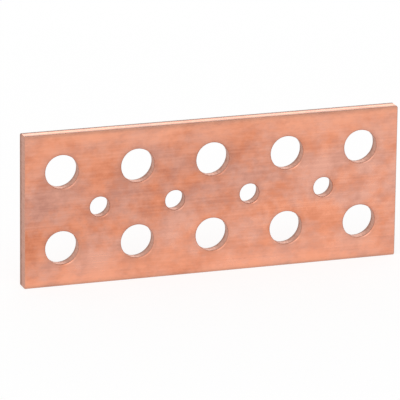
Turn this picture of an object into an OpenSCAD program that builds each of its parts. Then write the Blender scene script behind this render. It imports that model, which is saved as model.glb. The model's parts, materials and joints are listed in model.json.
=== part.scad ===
// Copper busbar: a flat drawn bar, punched with two rows of bolt holes and a middle row of small holes.
// The bar stands on a long edge. X runs along it, Y through its thickness and Z up across the rows.
// The origin is at the middle of the edge that it stands on. Lengths are in millimetres.

/* [Bar] */
// Thickness of the flat bar
bar_thickness = 5; // [4:0.5:12]
// Height of the bar, measured across the rows of holes
bar_height = 50; // [44:1:120]
// Radius of the four long edges, left by the drawing die
edge_radius = 0.5; // [0.2:0.1:1.2]
// Width of the 45 degree break round each sheared end
end_break = 0.3; // [0.1:0.05:0.6]

/* [Hole pattern] */
// Number of columns of bolt holes along the bar
columns = 5; // [2:1:20]
// Distance from one column to the next
column_pitch = 25; // [20:0.5:60]
// Distance between the two rows of bolt holes
row_spacing = 25; // [20:0.5:34]
// Distance from each end of the bar to the nearest column
end_margin = 12.5; // [9:0.5:40]

/* [Holes] */
// Diameter of the bolt holes, which let M10 bolts through
bolt_hole_d = 11; // [6.6:0.1:14]
// Diameter of the small holes midway between the columns, which let M6 bolts through
small_hole_d = 6.6; // [3.4:0.1:9]
// Radius of the edge that the punch rolls in at the front face
roll_radius = 0.9; // [0.6:0.05:1.5]
// Depth of the rolled edge, from the front face to the straight wall
roll_depth = 0.4; // [0.1:0.05:0.5]
// Depth of the torn part of a hole's wall, measured from the back face
tear_depth = 2; // [0.5:0.1:2.5]
// How much wider than the straight wall a hole's radius is at the back face, where the slug broke out
tear_flare = 0.5; // [0.1:0.05:0.6]

/* [Hidden] */
$fn = 96;

copper = "#dc987f";
bar_length = (columns - 1) * column_pitch + 2 * end_margin;
mid_height = bar_height / 2;
// How far the circle of the rolled edge rises past the front face, so that it cuts the face cleanly
roll_rise = 0.02;
// Ends of a hole's straight wall, measured from the middle of the thickness towards the front
wall_front = bar_thickness / 2 - roll_depth;
wall_back = tear_depth - bar_thickness / 2;
// Middle of a column, counted from 0; half numbers lie between two columns
function column_x(column) = (column - (columns - 1) / 2) * column_pitch;

// Outline of the bar across its length: thickness along X, height along Y, with round corners
module drawn_section() {
    square([bar_thickness - 2 * edge_radius, bar_height], center = true);
    square([bar_thickness, bar_height - 2 * edge_radius], center = true);
    for (x = [-1, 1], y = [-1, 1])
        translate([x * (bar_thickness / 2 - edge_radius), y * (bar_height / 2 - edge_radius)])
            circle(r = edge_radius);
}

// Long prism whose corners trim the end edges of a bar of this width at 45 degrees
module end_trim(width, depth) {
    past_end = bar_length / 2 + end_break;
    before_end = bar_length / 2 - 2 * end_break;
    past_side = width / 2 + end_break;
    before_side = width / 2 - 2 * end_break;
    linear_extrude(2 * depth, center = true)
        polygon([
            [past_end, -before_side], [past_end, before_side],
            [before_end, past_side], [-before_end, past_side],
            [-past_end, before_side], [-past_end, -before_side],
            [-before_end, -past_side], [before_end, -past_side]
        ]);
}

// The drawn bar sheared to length, with the edges of both ends broken
module blank_bar() {
    intersection() {
        rotate([90, 0, 90])
            linear_extrude(bar_length, center = true)
                drawn_section();
        end_trim(bar_thickness, bar_height);
        rotate([90, 0, 0])
            end_trim(bar_height, bar_thickness);
    }
}

// Half outline of the mouth at the front: the face curves in until it meets the wall
module rolled_edge(wall_radius) {
    circle_y = bar_thickness / 2 + roll_rise - roll_radius;
    circle_x = wall_radius + sqrt(pow(roll_radius, 2) - pow(wall_front - circle_y, 2));
    difference() {
        translate([0, wall_front])
            square([circle_x, roll_depth + roll_rise / 2]);
        translate([circle_x, circle_y])
            circle(r = roll_radius);
    }
}

// Half outline of the torn wall at the back: it flares to the face, and as far again past it
module torn_flare(wall_radius) {
    past_back = wall_back - 2 * tear_depth;
    polygon([
        [0, wall_back], [wall_radius, wall_back],
        [wall_radius + 2 * tear_flare, past_back], [0, past_back]
    ]);
}

// What a punch takes away, along Y: a rolled edge, a straight wall and a torn flare, from front to back
module punched_hole(diameter) {
    wall_radius = diameter / 2;
    rotate([90, 0, 0])
        rotate_extrude() {
            rolled_edge(wall_radius);
            translate([0, wall_back])
                square([wall_radius, bar_thickness]);
            torn_flare(wall_radius);
        }
}

// Two rows of bolt holes
module bolt_holes() {
    for (column = [0 : columns - 1], row = [-1, 1])
        translate([column_x(column), 0, row * row_spacing / 2])
            punched_hole(bolt_hole_d);
}

// Small holes on the middle line, one between each two columns
module small_holes() {
    for (column = [0 : columns - 2])
        translate([column_x(column + 0.5), 0, 0])
            punched_hole(small_hole_d);
}

module busbar() {
    color(copper)
        translate([0, 0, mid_height])
            difference() {
                blank_bar();
                bolt_holes();
                small_holes();
            }
}

busbar();
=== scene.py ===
"""Copper busbar: one drawn flat bar with punched holes and sheared ends, on a white studio floor.

The bar stands on a long edge. X runs along it, Y through its thickness, and Z up across the rows of
holes. Lengths are in metres, unless a name or comment says millimetres.
"""

import json
import logging
import math
from dataclasses import dataclass
from enum import Enum, IntEnum

import bmesh
import bpy
import numpy as np
from mathutils import Matrix, Vector


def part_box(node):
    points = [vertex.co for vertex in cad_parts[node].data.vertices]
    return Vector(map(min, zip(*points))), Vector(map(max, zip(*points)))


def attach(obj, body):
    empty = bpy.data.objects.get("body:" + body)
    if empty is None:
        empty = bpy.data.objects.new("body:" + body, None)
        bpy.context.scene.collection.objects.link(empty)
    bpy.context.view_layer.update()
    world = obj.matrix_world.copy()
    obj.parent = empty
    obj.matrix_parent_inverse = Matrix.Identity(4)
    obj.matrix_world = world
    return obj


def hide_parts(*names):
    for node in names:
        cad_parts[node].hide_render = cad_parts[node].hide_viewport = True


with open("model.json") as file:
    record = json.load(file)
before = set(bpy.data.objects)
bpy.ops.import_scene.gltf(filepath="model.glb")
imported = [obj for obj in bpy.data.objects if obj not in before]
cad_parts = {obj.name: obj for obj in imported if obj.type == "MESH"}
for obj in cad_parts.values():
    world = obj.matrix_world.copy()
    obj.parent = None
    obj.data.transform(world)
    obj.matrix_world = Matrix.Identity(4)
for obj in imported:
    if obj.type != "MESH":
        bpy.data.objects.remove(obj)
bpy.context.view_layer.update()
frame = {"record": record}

MM = 0.001
NODE = "busbar"
PIECE = "drawn_bar"
WHITE = "#FFFFFF"
# Inputs and outputs of Blender's Mix node, for colours and for single values
MIX_FACTOR = 0
MIX_A, MIX_B, MIX_RESULT = 6, 7, 2
MIX_LOW, MIX_HIGH, MIX_LEVEL = 2, 3, 0

log = logging.getLogger("busbar")


class Zone(IntEnum):
    """How a part of the bar's surface was made. The number is its material slot."""

    DRAWN = 0
    SHEARED = 1


class PaintedLight(Enum):
    """Values from 0 to 1 that the mesh carries for its painted light: painted sheen and painted shade.
    The text is the attribute's name.
    """

    # Painted sheen in bands along the long edges
    RUB = "edge_sheen"
    # Painted shade along the edges and round the holes' mouths
    SKIN = "painted_shade"


class Side(IntEnum):
    """Direction along an axis: towards its low or its high end."""

    LOW = -1
    HIGH = 1


def linear(hex_colour: str) -> tuple[float, float, float, float]:
    """Turns an sRGB hex colour into linear values, by the curve and constants of the sRGB standard.

    Args:
        hex_colour: Colour such as "#DC987F".

    Returns:
        Red, green, blue and alpha, from 0 to 1.
    """
    srgb = np.array(list(bytes.fromhex(hex_colour[1:]))) / 255
    values = np.where(srgb <= 0.04045, srgb / 12.92, ((srgb + 0.055) / 1.055) ** 2.4)
    return (*values.tolist(), 1.0)


def add_node(
    tree: bpy.types.NodeTree,
    kind: str,
    inputs: dict[str | int, object] | None = None,
    **settings: object,
) -> bpy.types.Node:
    """Adds a node with its settings, and gives inputs their values or links.

    Args:
        tree: Node tree that the node joins.
        kind: Blender's name of the node's type.
        inputs: For an input's name or number, a value or the socket that feeds it.
        **settings: Properties of the node itself.

    Returns:
        The new node.
    """
    node = tree.nodes.new(kind)
    for name, value in settings.items():
        setattr(node, name, value)
    for key, value in (inputs or {}).items():
        if isinstance(value, bpy.types.NodeSocket):
            tree.links.new(value, node.inputs[key])
        else:
            node.inputs[key].default_value = value
    return node


def start_material(name: str) -> bpy.types.Material:
    """Makes a material with an empty node tree.

    Args:
        name: Name of the finish.

    Returns:
        The material.
    """
    material = bpy.data.materials.new(name)
    material.use_nodes = True
    material.node_tree.nodes.clear()
    return material


def finish_metal(
    tree: bpy.types.NodeTree,
    colour: bpy.types.NodeSocket,
    roughness: bpy.types.NodeSocket,
    relief: bpy.types.NodeSocket,
    depth: float,
    metallic: bpy.types.NodeSocket | float = 1.0,
    glancing: str = WHITE,
) -> None:
    """Ends a metal's node tree: relief, shader and output.

    Args:
        tree: Material's node tree.
        colour: Base colour.
        roughness: Roughness.
        relief: Height of the fine relief, from 0 to 1.
        depth: Height that 1 stands for.
        metallic: How much of the surface is bare metal, from 0 to 1.
        glancing: How bright it stays when seen at a low angle, as a colour. White is a clean metal.
    """
    bump = add_node(tree, "ShaderNodeBump", {"Height": relief, "Distance": depth})
    shader = add_node(
        tree,
        "ShaderNodeBsdfPrincipled",
        {
            "Base Color": colour,
            "Metallic": metallic,
            "Roughness": roughness,
            "Specular Tint": linear(glancing),
            "Normal": bump.outputs["Normal"],
        },
    )
    add_node(tree, "ShaderNodeOutputMaterial", {"Surface": shader.outputs["BSDF"]})


@dataclass(frozen=True)
class Grain:
    """Soft uneven pattern that fades between 0 and 1.

    Attributes:
        size: Length of one patch along X, Y and Z, in millimetres.
        detail: Number of finer layers on top of the first.
        low: Noise level that becomes 0.
        high: Noise level that becomes 1.
        gain: Strength of each finer layer beside the one before.
        start: Place in the pattern that falls on the bar's origin, in patches.
    """

    size: tuple[float, float, float]
    detail: float = 2.0
    low: float = 0.35
    high: float = 0.65
    gain: float = 0.5
    start: tuple[float, float, float] = (0.0, 0.0, 0.0)

    def socket(self, tree: bpy.types.NodeTree) -> bpy.types.NodeSocket:
        """Adds the pattern's nodes on Object coordinates.

        Args:
            tree: Material's node tree.

        Returns:
            Socket with the pattern's value.
        """
        place = add_node(tree, "ShaderNodeTexCoord").outputs["Object"]
        per_metre = [1 / (length * MM) for length in self.size]
        scaled = add_node(
            tree, "ShaderNodeMapping", {"Vector": place, "Location": self.start, "Scale": per_metre}
        )
        noise = add_node(
            tree,
            "ShaderNodeTexNoise",
            {
                "Vector": scaled.outputs["Vector"],
                "Scale": 1.0,
                "Detail": self.detail,
                "Roughness": self.gain,
            },
        )
        spread = add_node(
            tree,
            "ShaderNodeMapRange",
            {"Value": noise.outputs["Fac"], "From Min": self.low, "From Max": self.high},
        )
        return spread.outputs["Result"]


@dataclass(frozen=True)
class DrawnCopper:
    """Electrolytic copper pulled through a die, then left to tarnish a little.

    The die leaves fine lines along the bar. Tarnish lies in soft clouds and small blotches, some pink and
    some orange. Bands of painted sheen brighten the faces next to the long edges, more in some patches
    than others. The edges themselves carry a thin grey-brown painted shade, which is dull and hardly
    metallic, and the holes' mouths have a trace of it.
    """

    name: str = "drawn_copper_tarnished"
    tarnished: str = "#A45E44"
    clean: str = "#FFB99C"
    orange: str = "#F08C60"
    pink: str = "#DAA69A"
    # Painted sheen: the brighter colour of the bands along the long edges
    sheen_tint: str = "#FFB08E"
    # Painted shade: the grey-brown colour along the edges and round the holes' mouths
    painted_shade: str = "#9C8478"
    # Roughness of clean copper, tarnished copper and the painted shade, and how metallic the surface is
    # under the painted shade
    smooth: float = 0.26
    rough: float = 0.40
    shade_rough: float = 0.6
    shade_metal: float = 0.2
    clouds: Grain = Grain((90.0, 90.0, 50.0), detail=2.0, low=0.4, high=0.6, start=(1.3, 0.0, 0.0))
    blotches: Grain = Grain((6.5, 6.5, 5.5), detail=5.0, low=0.4, high=0.6, gain=0.7)
    # Real die lines are about 0.1 mm apart, so they are drawn coarser to show
    die_lines: Grain = Grain((40.0, 0.6, 0.6), detail=3.0, gain=0.65)
    hues: Grain = Grain((15.0, 15.0, 12.0), detail=5.0, low=0.4, high=0.6, gain=0.65)
    sheen_patches: Grain = Grain(
        (12.0, 12.0, 5.0), detail=5.0, low=0.4, high=0.6, gain=0.7, start=(0.4, 0.0, 0.0)
    )
    # Shares of the blotches and then the die lines in the tone, and of the hues in the colour
    blotch_share: float = 0.5
    line_share: float = 0.22
    hue_share: float = 0.45
    # Strength of the painted sheen bands in their weakest and strongest patches
    least_sheen: float = 0.35
    most_sheen: float = 1.0
    line_depth: float = 0.01 * MM

    def tone(self, tree: bpy.types.NodeTree, lines: bpy.types.NodeSocket) -> bpy.types.NodeSocket:
        """Adds the copper's tone: clouds, with blotches and then die lines mixed in.

        Args:
            tree: Material's node tree.
            lines: Pattern of the die lines.

        Returns:
            Socket that is 0 where the copper is tarnished and 1 where it is clean.
        """
        tone = self.clouds.socket(tree)
        for layer, share in ((self.blotches.socket(tree), self.blotch_share), (lines, self.line_share)):
            tone = add_node(
                tree, "ShaderNodeMix", {MIX_FACTOR: share, MIX_LOW: tone, MIX_HIGH: layer}
            ).outputs[MIX_LEVEL]
        return tone

    def bare_colour(self, tree: bpy.types.NodeTree, tone: bpy.types.NodeSocket) -> bpy.types.NodeSocket:
        """Adds the colour of bare copper: from tarnished to clean, with orange and pink mixed in.

        Args:
            tree: Material's node tree.
            tone: The copper's tone.

        Returns:
            Socket with the colour.
        """
        colour = add_node(
            tree,
            "ShaderNodeMix",
            {MIX_FACTOR: tone, MIX_A: linear(self.tarnished), MIX_B: linear(self.clean)},
            data_type="RGBA",
        )
        hue = add_node(
            tree,
            "ShaderNodeMix",
            {MIX_FACTOR: self.hues.socket(tree), MIX_A: linear(self.orange), MIX_B: linear(self.pink)},
            data_type="RGBA",
        )
        both = add_node(
            tree,
            "ShaderNodeMix",
            {
                MIX_FACTOR: self.hue_share,
                MIX_A: colour.outputs[MIX_RESULT],
                MIX_B: hue.outputs[MIX_RESULT],
            },
            data_type="RGBA",
        )
        return both.outputs[MIX_RESULT]

    def edge_sheen(self, tree: bpy.types.NodeTree) -> bpy.types.NodeSocket:
        """Adds the painted sheen bands' strength: the sheen that the mesh carries, times that of the
        patches.

        Args:
            tree: Material's node tree.

        Returns:
            Socket with the strength, from 0 to 1.
        """
        bands = add_node(tree, "ShaderNodeAttribute", attribute_name=PaintedLight.RUB.value)
        patches = add_node(
            tree,
            "ShaderNodeMapRange",
            {"Value": self.sheen_patches.socket(tree), "To Min": self.least_sheen, "To Max": self.most_sheen},
        )
        strength = add_node(
            tree,
            "ShaderNodeMath",
            {0: bands.outputs["Fac"], 1: patches.outputs["Result"]},
            operation="MULTIPLY",
        )
        return strength.outputs[0]

    def material(self) -> bpy.types.Material:
        """Makes the material: bare copper, then the painted sheen bands and the painted shade over it.

        Returns:
            The material.
        """
        material = start_material(self.name)
        tree = material.node_tree
        lines = self.die_lines.socket(tree)
        tone = self.tone(tree, lines)
        painted_shade = add_node(tree, "ShaderNodeAttribute", attribute_name=PaintedLight.SKIN.value).outputs["Fac"]
        colour = self.bare_colour(tree, tone)
        # Painted sheen, then painted shade, mixed over the bare copper's colour
        for level, layer in ((self.edge_sheen(tree), self.sheen_tint), (painted_shade, self.painted_shade)):
            colour = add_node(
                tree,
                "ShaderNodeMix",
                {MIX_FACTOR: level, MIX_A: colour, MIX_B: linear(layer)},
                data_type="RGBA",
            ).outputs[MIX_RESULT]
        bare = add_node(
            tree, "ShaderNodeMapRange", {"Value": tone, "To Min": self.rough, "To Max": self.smooth}
        )
        roughness = add_node(
            tree,
            "ShaderNodeMix",
            {MIX_FACTOR: painted_shade, MIX_LOW: bare.outputs["Result"], MIX_HIGH: self.shade_rough},
        )
        metallic = add_node(
            tree, "ShaderNodeMapRange", {"Value": painted_shade, "To Min": 1.0, "To Max": self.shade_metal}
        )
        finish_metal(
            tree,
            colour,
            roughness.outputs[MIX_LEVEL],
            lines,
            self.line_depth,
            metallic=metallic.outputs["Result"],
        )
        return material


@dataclass(frozen=True)
class ShearedCopper:
    """Copper cut by a punch or a shear: burnished where the tool slid along it, torn where it broke off.

    Drag lines run the way that the tool went. The torn part is darker, duller and grainy, and starts at a
    ragged line. All of it is a little duller at low angles, as rough metal is. Both colours are also
    partly painted shade, the torn one most, so that the ends and the holes' walls look shaded.
    """

    name: str = "sheared_copper_burnished"
    # Partly painted shade: these colours are darker, the torn one most, so that the ends and the holes'
    # walls look shaded
    burnished_and_shade: str = "#D4A08C"
    torn_and_shade: str = "#AA7D6B"
    glancing: str = "#E7E7E7"
    # Roughness of the burnished and the torn part
    smooth: float = 0.42
    rough: float = 0.62
    # Real drag lines and torn grain are finer, so they are drawn coarser to show
    drag_lines: Grain = Grain((0.5, 5.0, 0.5))
    torn_grain: Grain = Grain((0.8, 0.8, 0.8), detail=3.0)
    # Y at which the tear starts, how far that wavers, and over what length the finish changes
    tear_start: float = 0.5 * MM
    tear_waver: float = 0.9 * MM
    tear_fade: float = 1.2 * MM
    waver: Grain = Grain((2.0, 3.0, 2.0), detail=5.0)
    # Share of the relief in the colour and the roughness
    relief_share: float = 0.25
    relief_depth: float = 0.03 * MM

    def tear(self, tree: bpy.types.NodeTree) -> bpy.types.NodeSocket:
        """Adds the change from burnished to torn, at the tear's start give or take half its waver.

        Args:
            tree: Material's node tree.

        Returns:
            Socket that is 0 where the copper is burnished and 1 where it is torn.
        """
        place = add_node(tree, "ShaderNodeTexCoord").outputs["Object"]
        depth = add_node(tree, "ShaderNodeSeparateXYZ", {"Vector": place}).outputs["Y"]
        ragged = add_node(
            tree,
            "ShaderNodeMath",
            {0: self.waver.socket(tree), 1: self.tear_waver, 2: depth},
            operation="MULTIPLY_ADD",
        )
        line = self.tear_start + self.tear_waver / 2
        change = add_node(
            tree,
            "ShaderNodeMapRange",
            {
                "Value": ragged.outputs[0],
                "From Min": line - self.tear_fade / 2,
                "From Max": line + self.tear_fade / 2,
            },
        )
        return change.outputs["Result"]

    def material(self) -> bpy.types.Material:
        """Makes the material: drag lines up to the ragged line, and torn grain behind it.

        Returns:
            The material.
        """
        material = start_material(self.name)
        tree = material.node_tree
        tear = self.tear(tree)
        relief = add_node(
            tree,
            "ShaderNodeMix",
            {
                MIX_FACTOR: tear,
                MIX_LOW: self.drag_lines.socket(tree),
                MIX_HIGH: self.torn_grain.socket(tree),
            },
        ).outputs[MIX_LEVEL]
        dull = add_node(
            tree, "ShaderNodeMix", {MIX_FACTOR: self.relief_share, MIX_LOW: tear, MIX_HIGH: relief}
        ).outputs[MIX_LEVEL]
        colour = add_node(
            tree,
            "ShaderNodeMix",
            {MIX_FACTOR: dull, MIX_A: linear(self.burnished_and_shade), MIX_B: linear(self.torn_and_shade)},
            data_type="RGBA",
        )
        roughness = add_node(
            tree, "ShaderNodeMapRange", {"Value": dull, "To Min": self.smooth, "To Max": self.rough}
        )
        finish_metal(
            tree,
            colour.outputs[MIX_RESULT],
            roughness.outputs["Result"],
            relief,
            self.relief_depth,
            glancing=self.glancing,
        )
        return material


@dataclass(frozen=True)
class Hole:
    """Round hole along Y: X and Z of its axis, and the radius of its straight wall."""

    x: float
    z: float
    radius: float


@dataclass(frozen=True)
class Patch:
    """Grid of surface points, of shape rows by columns by 3.

    Attributes:
        points: The grid.
        zone: How this part of the surface was made.
        closed: Whether the last column joins the first.
    """

    points: np.ndarray
    zone: Zone
    closed: bool = False

    def quads(self) -> np.ndarray:
        """Lists the grid's quads.

        Returns:
            Numbers of their corners, of shape quads by 4.
        """
        rows, columns = self.points.shape[:2]
        index = np.arange(rows * columns).reshape(rows, columns)
        if self.closed:
            index = np.hstack([index, index[:, :1]])
        corners = [index[:-1, :-1], index[:-1, 1:], index[1:, 1:], index[1:, :-1]]
        return np.stack(corners, axis=-1).reshape(-1, 4)


@dataclass(frozen=True)
class PunchedBar:
    """The busbar: a drawn bar with round long edges, punched holes and two sheared ends.

    Its length, thickness, height and holes come from the frame. The other sizes are those of the solid,
    with the slight sink of the front face that a punch leaves round a hole.
    """

    length: float
    thickness: float
    height: float
    bolt_holes: tuple[Hole, ...]
    small_holes: tuple[Hole, ...]
    # Rounding of the long edges, and the break round the ends
    edge_radius: float = 0.5 * MM
    end_break: float = 0.3 * MM
    # Rolled edge at a hole's front: radius, depth, and how far its circle would stand out of the face
    roll_radius: float = 0.9 * MM
    roll_depth: float = 0.4 * MM
    roll_rise: float = 0.02 * MM
    # Torn flare at a hole's back: its depth, and by how much it widens the hole
    tear_depth: float = 2 * MM
    tear_flare: float = 0.5 * MM
    # Sink of the front face: its depth at a hole's mouth, and the distance over which it falls off
    sink_depth: float = 0.04 * MM
    sink_width: float = 0.45 * MM
    # How far the painted sheen bands and the painted shade reach over the faces, and the painted shade
    # over the edges' flats
    sheen_width: float = 7 * MM
    face_shade_width: float = 0.5 * MM
    flat_shade_width: float = 1.1 * MM
    # How strong the painted shade is along the front and the back of the edges' flats, where a face ends,
    # and at the holes' mouths
    front_shade: float = 0.6
    back_shade: float = 1.0
    face_shade: float = 0.3
    mouth_shade: float = 0.1
    # Power of the height with which the painted shade grows over an edge's rounding
    shade_power: int = 4
    # Numbers of steps in the grids: along and up the sides of a cell, round a quarter of a small hole,
    # from a mouth out over the face, over a rolled edge, down each part of a wall, over an edge's
    # rounding, across its flat, and down an end's break
    run_steps: int = 28
    rise_steps: int = 24
    corner_steps: int = 24
    face_steps: int = 14
    roll_steps: int = 6
    wall_steps: int = 4
    edge_steps: int = 6
    flat_steps: int = 8
    break_steps: int = 2
    # Points closer than this are one point, and edges sharper than this are creases
    merge_distance: float = 0.001 * MM
    crease: float = math.radians(40)

    @classmethod
    def from_frame(cls, record: dict) -> "PunchedBar":
        """Takes the bar's sizes from the CAD node, and its holes from the bore mounts.

        Args:
            record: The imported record.

        Returns:
            The bar.
        """
        low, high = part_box(NODE)
        bores = [mount for mount in record["mounts"] if mount["kind"] == "bore"]
        groups = [
            tuple(
                Hole(mount["pos_m"][0], mount["pos_m"][2], mount["dims"]["r_mm"] * MM)
                for mount in bores
                if mount["name"].startswith(prefix)
            )
            for prefix in ("bolt_hole", "small_hole")
        ]
        return cls(*(high - low), *groups)

    @property
    def middle(self) -> float:
        """Height of the line midway between the two rows."""
        return self.height / 2

    @property
    def roll_turn(self) -> tuple[float, float]:
        """Where a hole's rolled edge starts and ends on its circle.

        Returns:
            Two angles from the front face's normal.
        """
        centre_depth = self.roll_radius - self.roll_rise
        start = math.acos(centre_depth / self.roll_radius)
        return start, math.acos((centre_depth - self.roll_depth) / self.roll_radius)

    @property
    def column_edges(self) -> np.ndarray:
        """Lines that part the columns: both ends of the flat face, and midway between columns.

        Returns:
            X of the lines, from left to right.
        """
        columns = np.unique([hole.x for hole in self.bolt_holes])
        end = self.length / 2 - self.end_break
        return np.concatenate([[-end], (columns[1:] + columns[:-1]) / 2, [end]])

    def mouth(self, hole: Hole, side: Side) -> float:
        """Radius of a hole where it meets a face.

        Args:
            hole: The hole.
            side: Front (low Y) or back (high Y) of the bar.

        Returns:
            The radius, with the rolled edge at the front or the torn flare at the back.
        """
        start, end = self.roll_turn
        rolled = self.roll_radius * (math.sin(end) - math.sin(start))
        return hole.radius + (rolled if side is Side.LOW else self.tear_flare)

    def inner_corner(self, corner_x: float, inward: Side, bite: float) -> np.ndarray:
        """Outline of a cell's inner corner, in X and distance from the middle line.

        At a small hole it is a quarter circle round the corner. At an end of the bar it is the square
        corner, in as many steps: along the middle line, and then up the side.

        Args:
            corner_x: X of the corner.
            inward: Direction along X that leads into the cell.
            bite: Radius of the small hole's mouth.

        Returns:
            Points from the middle line to the cell's side.
        """
        turn = np.linspace(0, math.pi / 2, self.corner_steps + 1)
        along, out = np.cos(turn), np.sin(turn)
        if min(abs(hole.x - corner_x) for hole in self.small_holes) > self.merge_distance:
            share = np.linspace(0, 2, self.corner_steps + 1)
            along, out = np.clip(1 - share, 0, 1), np.clip(share - 1, 0, 1)
        return np.stack([corner_x + inward * bite * along, bite * out], axis=1)

    def cell_outline(self, hole: Hole, side: Side) -> np.ndarray:
        """Outline of the flat face round one bolt hole.

        It runs along the middle line, up one side, along the bar's long edge and down the other side,
        with an inner corner at each end of the middle line.

        Args:
            hole: The bolt hole in the cell.
            side: Front (low Y) or back (high Y) of the bar.

        Returns:
            Points of the closed outline in X and Z.
        """
        edges = self.column_edges
        number = np.searchsorted(edges, hole.x)
        left, right = edges[number - 1], edges[number]
        reach = self.middle - self.edge_radius
        bite = self.mouth(self.small_holes[0], side)
        row = math.copysign(1, hole.z - self.middle)
        stretches = [
            np.linspace([left + bite, 0], [right - bite, 0], self.run_steps + 1),
            self.inner_corner(right, Side.LOW, bite),
            np.linspace([right, bite], [right, reach], self.rise_steps + 1),
            np.linspace([right, reach], [left, reach], self.run_steps + 1),
            np.linspace([left, reach], [left, bite], self.rise_steps + 1),
            self.inner_corner(left, Side.HIGH, bite)[::-1],
        ]
        outline = np.concatenate([stretch[:-1] for stretch in stretches])
        return outline * [1, row] + [0, self.middle]

    def spoke_angles(self, hole: Hole) -> np.ndarray:
        """Angles round a bolt hole at which its cell's outline on the front has its points."""
        spokes = self.cell_outline(hole, Side.LOW) - [hole.x, hole.z]
        return np.arctan2(spokes[:, 1], spokes[:, 0])

    def past_mouths(self, points: np.ndarray, side: Side) -> np.ndarray:
        """Distance of each point from the nearest hole's mouth, negative inside the hole.

        Args:
            points: Surface points, with X, Y and Z last.
            side: Face whose mouths count.

        Returns:
            One distance for each point.
        """
        holes = self.bolt_holes + self.small_holes
        centres = np.array([[hole.x, hole.z] for hole in holes])
        mouths = np.array([self.mouth(hole, side) for hole in holes])
        return (np.linalg.norm(points[..., None, [0, 2]] - centres, axis=-1) - mouths).min(axis=-1)

    def sunk(self, points: np.ndarray) -> np.ndarray:
        """Sinks the front face round each hole, as a punch does.

        The sink falls off exponentially with the distance from the hole's mouth, and fades out over the
        depth of the rolled edge.

        Args:
            points: Surface points, with X, Y and Z last.

        Returns:
            The points moved towards the back.
        """
        away = np.clip(self.past_mouths(points, Side.LOW), 0, None)
        below_face = points[..., 1] + self.thickness / 2
        fade = np.clip(1 - below_face / self.roll_depth, 0, 1)
        moved = points.copy()
        moved[..., 1] += self.sink_depth * np.exp(-away / self.sink_width) * fade
        return moved

    def face_cell(self, hole: Hole, side: Side) -> Patch:
        """Flat face round one bolt hole: straight lines from the mouth's circle to the cell's outline.

        Rows go outwards in cosine steps, which lie closest at both ends. Columns follow the outline.

        Args:
            hole: The bolt hole in the cell.
            side: Front (low Y) or back (high Y) of the bar.

        Returns:
            The patch.
        """
        outline = self.cell_outline(hole, side)
        angles = self.spoke_angles(hole)
        rays = np.stack([np.cos(angles), np.sin(angles)], axis=1)
        circle = [hole.x, hole.z] + self.mouth(hole, side) * rays
        share = (1 - np.cos(np.linspace(0, math.pi, self.face_steps + 1)))[:, None, None] / 2
        flat = circle * (1 - share) + outline * share
        level = np.full(flat.shape[:2], side * self.thickness / 2)
        points = np.stack([flat[..., 0], level, flat[..., 1]], axis=-1)
        return Patch(self.sunk(points), Zone.DRAWN, closed=True)

    def turned(
        self, hole: Hole, angles: np.ndarray, along: np.ndarray, growth: np.ndarray
    ) -> np.ndarray:
        """Turns a profile about a hole's axis.

        Each point lies at the hole's axis, plus the radius times the cosine of its angle in X and times
        the sine in Z.

        Args:
            hole: The hole.
            angles: Angles of the columns round the axis.
            along: Y of the profile's points.
            growth: How much wider than the hole's straight wall the profile is at each point.

        Returns:
            Grid of points, one row for each point of the profile.
        """
        radius = hole.radius + growth[:, None]
        places = (hole.x + radius * np.cos(angles), along[:, None], hole.z + radius * np.sin(angles))
        return np.stack(np.broadcast_arrays(*places), axis=-1)

    def hole_patches(self, hole: Hole, angles: np.ndarray) -> list[Patch]:
        """Rolled edge and wall of a hole.

        Along the rolled edge, the radius falls as the sine of the turn grows, and Y grows as its cosine
        falls. The wall goes straight back and then flares as a cone.

        Args:
            hole: The hole.
            angles: Angles of the columns round the axis.

        Returns:
            The two patches.
        """
        front, back = -self.thickness / 2, self.thickness / 2
        start, end = self.roll_turn
        turn = np.linspace(start, end, self.roll_steps + 1)
        rolled_y = front + self.roll_radius * (math.cos(start) - np.cos(turn))
        rolled = self.roll_radius * (math.sin(end) - np.sin(turn))
        straight = np.linspace(front + self.roll_depth, back - self.tear_depth, self.wall_steps + 1)
        share = np.linspace(0, 1, self.wall_steps + 1)[1:]
        wall_y = np.concatenate([straight, straight[-1] + share * self.tear_depth])
        flare = np.concatenate([0 * straight, share * self.tear_flare])
        return [
            Patch(self.sunk(self.turned(hole, angles, rolled_y, rolled)), Zone.DRAWN, closed=True),
            Patch(self.turned(hole, angles, wall_y, flare), Zone.SHEARED, closed=True),
        ]

    def holes(self) -> list[Patch]:
        """All holes. A bolt hole's columns follow its cell's outline, and a small hole's are even.

        Returns:
            Two patches for each hole.
        """
        even = np.linspace(0, 2 * math.pi, 4 * self.corner_steps, endpoint=False)
        spokes = [(hole, self.spoke_angles(hole)) for hole in self.bolt_holes]
        spokes += [(hole, even) for hole in self.small_holes]
        return [patch for hole, angles in spokes for patch in self.hole_patches(hole, angles)]

    def half_section(self, side: Side, inset: float = 0.0) -> np.ndarray:
        """Front or back half of the bar's outline across its length, from the lower to the upper flat.

        It is a quarter circle, the face and a quarter circle. An inset makes the circles smaller and
        moves the face in by as much.

        Args:
            side: Front (low Y) or back (high Y).
            inset: Distance by which the outline is drawn in.

        Returns:
            Points in Y and Z.
        """
        bite = self.mouth(self.small_holes[0], side)
        reach = self.middle - self.edge_radius
        near = np.linspace(0, bite, self.corner_steps // 2 + 1)
        out = np.concatenate([near, np.linspace(bite, reach, self.rise_steps + 1)[1:]])
        face_z = self.middle + np.concatenate([-out[::-1], out[1:]])
        quarter = np.linspace(0, math.pi / 2, self.edge_steps + 1)
        turn = np.concatenate([-quarter[::-1], 0 * face_z[1:-1], quarter])
        centre_z = np.pad(face_z, self.edge_steps, mode="edge")
        radius = self.edge_radius - inset
        y = side * (self.thickness / 2 - self.edge_radius + radius * np.cos(turn))
        return np.stack([y, centre_z + radius * np.sin(turn)], axis=1)

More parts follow.
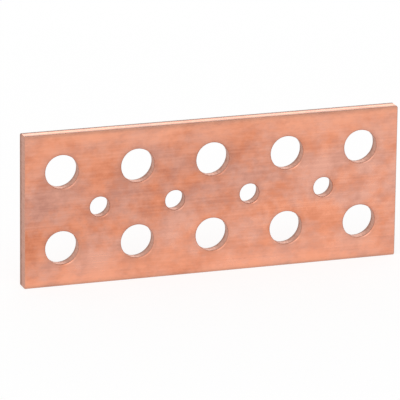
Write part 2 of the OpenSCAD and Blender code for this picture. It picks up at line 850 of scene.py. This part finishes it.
    def across(self, inset: float = 0.0) -> np.ndarray:
        """Straight rows of points from the front half of a section to its back half.

        Args:
            inset: Distance by which the section is drawn in.

        Returns:
            Grid of shape points by steps across by 2.
        """
        share = np.linspace(0, 1, self.flat_steps + 1)[:, None]
        front = self.half_section(Side.LOW, inset)[:, None]
        back = self.half_section(Side.HIGH, inset)[:, None]
        return front * (1 - share) + back * share

    def long_edge(self, side: Side) -> Patch:
        """Long edge: a quarter circle, a flat and a quarter circle, carried along the bar.

        Args:
            side: Lower or upper edge.

        Returns:
            The patch.
        """
        edges = self.column_edges
        cells = [np.linspace(*pair, self.run_steps + 1)[1:] for pair in zip(edges[:-1], edges[1:])]
        along = np.concatenate([edges[:1], *cells])
        section = self.across()[-self.edge_steps - 1 :]
        profile = np.concatenate([section[:, 0], section[-1, 1:-1], section[::-1, -1]])
        if side is Side.LOW:
            profile = profile * [1, -1] + [0, self.height]
        y, z = profile.T[:, :, None]
        return Patch(np.stack(np.broadcast_arrays(along, y, z), axis=-1), Zone.DRAWN)

    def sheared_end(self, side: Side) -> list[Patch]:
        """Sheared end: the section's loop, drawn in by steps along the 45 degree break, and a flat cap.

        Args:
            side: Left (low X) or right (high X) end.

        Returns:
            The break and the cap.
        """
        insets = np.linspace(0, self.end_break, self.break_steps + 1)
        sections = [self.across(inset) for inset in insets]
        loops = np.stack(
            [
                np.concatenate([rows[:, 0], rows[-1, 1:-1], rows[::-1, -1], rows[0, -2:0:-1]])
                for rows in sections
            ]
        )
        cap = sections[-1]
        loop_x = side * (self.length / 2 - self.end_break + insets)
        loop_x = np.broadcast_to(loop_x[:, None, None], (*loops.shape[:2], 1))
        cap_x = np.full((*cap.shape[:2], 1), side * self.length / 2)
        return [
            Patch(np.concatenate([loop_x, loops], axis=-1), Zone.SHEARED, closed=True),
            Patch(np.concatenate([cap_x, cap], axis=-1), Zone.SHEARED),
        ]

    def patches(self) -> list[Patch]:
        """All of the bar's surface.

        Returns:
            Patches of the faces, the holes, the long edges and the ends.
        """
        cells = [self.face_cell(hole, side) for hole in self.bolt_holes for side in Side]
        edges = [self.long_edge(side) for side in Side]
        ends = [patch for side in Side for patch in self.sheared_end(side)]
        return cells + self.holes() + edges + ends

    def painted_light(self, points: np.ndarray) -> dict[PaintedLight, np.ndarray]:
        """How much painted sheen and how much painted shade each point has.

        The painted sheen falls off exponentially over the face with the distance from the nearer long
        edge.
        The painted shade grows with a power of the height over that edge's rounding. It falls off
        exponentially over the face and with the distance from the nearest hole, and as a bell curve over
        the edge's flat.

        Args:
            points: Surface points.

        Returns:
            One value from 0 to 1 for each point, for each kind of painted light.
        """
        in_front = points[:, 1] < 0
        from_edge = self.middle - self.edge_radius - np.abs(points[:, 2] - self.middle)
        from_rounding = self.thickness / 2 - self.edge_radius - np.abs(points[:, 1])
        from_hole = np.where(
            in_front, self.past_mouths(points, Side.LOW), self.past_mouths(points, Side.HIGH)
        )
        on_face, on_flat, at_hole = np.clip([from_edge, from_rounding, from_hole], 0, None)
        # Painted shade: grows over the edges' rounding, and fades over the faces and round the holes'
        # mouths
        height = np.clip(-from_edge / self.edge_radius, 0, 1)
        flat_shade = np.where(in_front, self.front_shade, self.back_shade)
        edge_shade = self.face_shade + (flat_shade - self.face_shade) * height**self.shade_power
        edge_shade *= np.exp(-on_face / self.face_shade_width - (on_flat / self.flat_shade_width) ** 2)
        hole_shade = self.mouth_shade * np.exp(-at_hole / self.face_shade_width)
        return {
            PaintedLight.RUB: np.exp(-on_face / self.sheen_width),
            PaintedLight.SKIN: np.maximum(edge_shade, hole_shade),
        }

    def mesh(self) -> bpy.types.Mesh:
        """Joins the patches into one closed mesh with outward faces.

        Returns:
            The mesh, with a zone for each face.
        """
        patches = self.patches()
        counts = [patch.points.shape[0] * patch.points.shape[1] for patch in patches]
        starts = np.cumsum([0] + counts[:-1])
        points = np.concatenate([patch.points.reshape(-1, 3) for patch in patches])
        quads = [patch.quads() + start for patch, start in zip(patches, starts)]
        zones = np.concatenate([np.full(len(quad), patch.zone) for quad, patch in zip(quads, patches)])
        mesh = bpy.data.meshes.new(PIECE)
        mesh.from_pydata(points, [], np.concatenate(quads))
        mesh.polygons.foreach_set("material_index", zones.astype(np.int32))
        mesh.polygons.foreach_set("use_smooth", np.ones(len(zones), dtype=bool))
        shell = bmesh.new()
        shell.from_mesh(mesh)
        bmesh.ops.remove_doubles(shell, verts=shell.verts, dist=self.merge_distance)
        bmesh.ops.recalc_face_normals(shell, faces=shell.faces)
        shell.to_mesh(mesh)
        shell.free()
        mesh.set_sharp_from_angle(angle=self.crease)
        return mesh

    def build(self) -> bpy.types.Object:
        """Makes the bar's object, whose mesh carries its painted sheen and painted shade, and whose flat
        faces are shaded flat.

        Returns:
            The object, not dressed yet.
        """
        mesh = self.mesh()
        places = np.empty(len(mesh.vertices) * 3)
        mesh.vertices.foreach_get("co", places)
        for painted_light, values in self.painted_light(places.reshape(-1, 3)).items():
            mesh.attributes.new(painted_light.value, "FLOAT", "POINT").data.foreach_set("value", values)
        piece = bpy.data.objects.new(PIECE, mesh)
        bpy.context.scene.collection.objects.link(piece)
        piece.modifiers.new("flat_faces", "WEIGHTED_NORMAL").keep_sharp = True
        return piece

    def dress(self, piece: bpy.types.Object) -> None:
        """Gives each zone its finish, in the order of the slots.

        Args:
            piece: The bar's object.
        """
        finishes = {Zone.DRAWN: DrawnCopper(), Zone.SHEARED: ShearedCopper()}
        for zone in Zone:
            piece.data.materials.append(finishes[zone].material())


@dataclass(frozen=True)
class Softbox:
    """Square lamp that faces the bar.

    Attributes:
        name: Name of the lamp.
        place: Its middle.
        width: Side of the square.
        power: Light that it gives, in watts.
    """

    name: str
    place: tuple[float, float, float]
    width: float
    power: float

    def build(self, target: Vector) -> None:
        """Makes the lamp.

        Args:
            target: Point that it faces.
        """
        lamp = bpy.data.lights.new(self.name, "AREA")
        lamp.size = self.width
        lamp.energy = self.power
        holder = bpy.data.objects.new(self.name, lamp)
        holder.location = self.place
        holder.rotation_euler = (target - Vector(self.place)).to_track_quat("-Z", "Y").to_euler()
        bpy.context.scene.collection.objects.link(holder)


@dataclass(frozen=True)
class Studio:
    """White floor in a white room with a dimmer ceiling, lit softly from the bar's front and back.

    Rays from the camera, and those that metal reflects, see the floor and the walls as white. Part of the
    floor's white is light that falls on it, so the bar's shadow stays.

    Attributes:
        floor_width: Side of the square floor.
        floor_glow: Share of the floor's white that doesn't depend on the light on it.
        floor_paper: Colour of the floor's paper.
        room_light: Light that the walls give to matt surfaces.
        ceiling_light: Brightness of the ceiling, where the walls have 1.
        ceiling_start: Angle above the horizon where the walls begin to fade to the ceiling.
        ceiling_end: Angle above the horizon where the ceiling is reached.
        key: Lamp in front, above and to the left.
        rear: Lamp behind, which the bar's upper edge mirrors.
    """

    floor_width: float = 8.0
    floor_glow: float = 0.8
    floor_paper: str = "#979797"
    room_light: float = 0.55
    ceiling_light: float = 0.75
    ceiling_start: float = math.radians(28)
    ceiling_end: float = math.radians(55)
    key: Softbox = Softbox("key_softbox", place=(-0.6, -0.95, 1.6), width=1.8, power=8.0)
    rear: Softbox = Softbox("rear_softbox", place=(0.34, 1.0, 0.36), width=0.6, power=1.2)

    def seen(self, tree: bpy.types.NodeTree) -> bpy.types.NodeSocket:
        """Adds nodes that tell rays from the camera, and reflected or refracted rays, from the rest.

        Args:
            tree: Node tree of the floor or the world.

        Returns:
            Socket that is 1 for those rays and 0 for others.
        """
        path = add_node(tree, "ShaderNodeLightPath")
        either = add_node(
            tree,
            "ShaderNodeMath",
            {0: path.outputs["Is Camera Ray"], 1: path.outputs["Is Glossy Ray"]},
            operation="MAXIMUM",
        )
        any_seen = add_node(
            tree,
            "ShaderNodeMath",
            {0: either.outputs[0], 1: path.outputs["Is Transmission Ray"]},
            operation="MAXIMUM",
        )
        return any_seen.outputs[0]

    def floor_material(self) -> bpy.types.Material:
        """Makes the floor's matt white paper, which glows where it is seen.

        Returns:
            The material.
        """
        material = start_material("white_paper")
        tree = material.node_tree
        paper = add_node(tree, "ShaderNodeBsdfDiffuse", {"Color": linear(self.floor_paper)})
        strength = add_node(
            tree, "ShaderNodeMath", {0: self.seen(tree), 1: self.floor_glow}, operation="MULTIPLY"
        )
        glow = add_node(tree, "ShaderNodeEmission", {"Strength": strength.outputs[0]})
        both = add_node(tree, "ShaderNodeAddShader", {0: paper.outputs[0], 1: glow.outputs[0]})
        add_node(tree, "ShaderNodeOutputMaterial", {"Surface": both.outputs[0]})
        return material

    def build_floor(self) -> None:
        """Makes the floor, a square under the bar."""
        half = self.floor_width / 2
        corners = half * np.array([[-1, -1, 0], [1, -1, 0], [1, 1, 0], [-1, 1, 0]])
        mesh = bpy.data.meshes.new("floor")
        mesh.from_pydata(corners, [], [range(len(corners))])
        mesh.materials.append(self.floor_material())
        floor = bpy.data.objects.new("floor", mesh)
        bpy.context.scene.collection.objects.link(floor)

    def build_room(self) -> None:
        """Makes the world: white walls that fade to a dimmer ceiling, and all white for the camera."""
        world = bpy.data.worlds.new("white_room")
        world.use_nodes = True
        tree = world.node_tree
        direction = add_node(tree, "ShaderNodeTexCoord").outputs["Generated"]
        rise = add_node(tree, "ShaderNodeSeparateXYZ", {"Vector": direction})
        fade = add_node(
            tree,
            "ShaderNodeMapRange",
            {
                "Value": rise.outputs["Z"],
                "From Min": math.sin(self.ceiling_start),
                "From Max": math.sin(self.ceiling_end),
                "To Min": 1.0,
                "To Max": self.ceiling_light,
            },
            interpolation_type="SMOOTHSTEP",
        )
        level = add_node(
            tree,
            "ShaderNodeMapRange",
            {"Value": self.seen(tree), "To Min": self.room_light, "To Max": 1.0},
        )
        mirrored = add_node(
            tree,
            "ShaderNodeMath",
            {0: fade.outputs["Result"], 1: level.outputs["Result"]},
            operation="MULTIPLY",
        )
        path = add_node(tree, "ShaderNodeLightPath")
        strength = add_node(
            tree,
            "ShaderNodeMath",
            {0: mirrored.outputs[0], 1: path.outputs["Is Camera Ray"]},
            operation="MAXIMUM",
        )
        background = tree.nodes["Background"]
        background.inputs["Color"].default_value = linear(WHITE)
        tree.links.new(strength.outputs[0], background.inputs["Strength"])
        bpy.context.scene.world = world

    def build(self, target: Vector) -> None:
        """Makes the floor, the room and the lamps.

        Args:
            target: Point that the lamps face.
        """
        self.build_floor()
        self.build_room()
        for softbox in (self.key, self.rear):
            softbox.build(target)


@dataclass(frozen=True)
class LongLens:
    """Camera to the left of the bar's front, far off, with a long lens.

    Attributes:
        turn: Angle by which it looks to the right of straight at the face.
        tilt: Angle by which it looks down.
        roll: Angle by which it leans.
        distance: Distance to what it aims at.
        focal_length: Of the lens, in millimetres, on Blender's sensor of 36 mm.
        aim: What it aims at, in X and Z from the middle of the front face.
    """

    turn: float = math.radians(18.9)
    tilt: float = math.radians(17.0)
    roll: float = math.radians(0.65)
    distance: float = 1.374
    focal_length: float = 389.2
    aim: tuple[float, float] = (-4.3 * MM, -0.6 * MM)

    def build(self, bar: PunchedBar) -> None:
        """Makes the camera and makes it the scene's.

        Args:
            bar: The bar that it looks at.
        """
        ahead = Vector(
            (
                math.sin(self.turn) * math.cos(self.tilt),
                math.cos(self.turn) * math.cos(self.tilt),
                -math.sin(self.tilt),
            )
        )
        right = Vector((math.cos(self.turn), -math.sin(self.turn), 0))
        up = right.cross(ahead)
        lean = Matrix.Rotation(-self.roll, 3, ahead)
        axes = Matrix((lean @ right, lean @ up, -ahead)).transposed()
        target = Vector((self.aim[0], -bar.thickness / 2, bar.middle + self.aim[1]))
        camera = bpy.data.cameras.new("long_lens")
        camera.lens = self.focal_length
        holder = bpy.data.objects.new("long_lens", camera)
        holder.matrix_world = Matrix.Translation(target - self.distance * ahead) @ axes.to_4x4()
        bpy.context.scene.collection.objects.link(holder)
        bpy.context.scene.camera = holder


def main() -> None:
    """Builds and dresses the bar, then sets the studio and the camera."""
    logging.basicConfig(level=logging.INFO, format="%(name)s: %(message)s")
    bar = PunchedBar.from_frame(frame["record"])
    piece = bar.build()
    bar.dress(piece)
    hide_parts(NODE)
    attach(piece, "root")
    holes = len(bar.bolt_holes) + len(bar.small_holes)
    log.info("%s: %d faces, %d holes", piece.name, len(piece.data.polygons), holes)
    Studio().build(Vector((0, 0, bar.middle)))
    LongLens().build(bar)
    bpy.context.scene.view_settings.view_transform = "Standard"


if __name__ == "__main__":
    main()
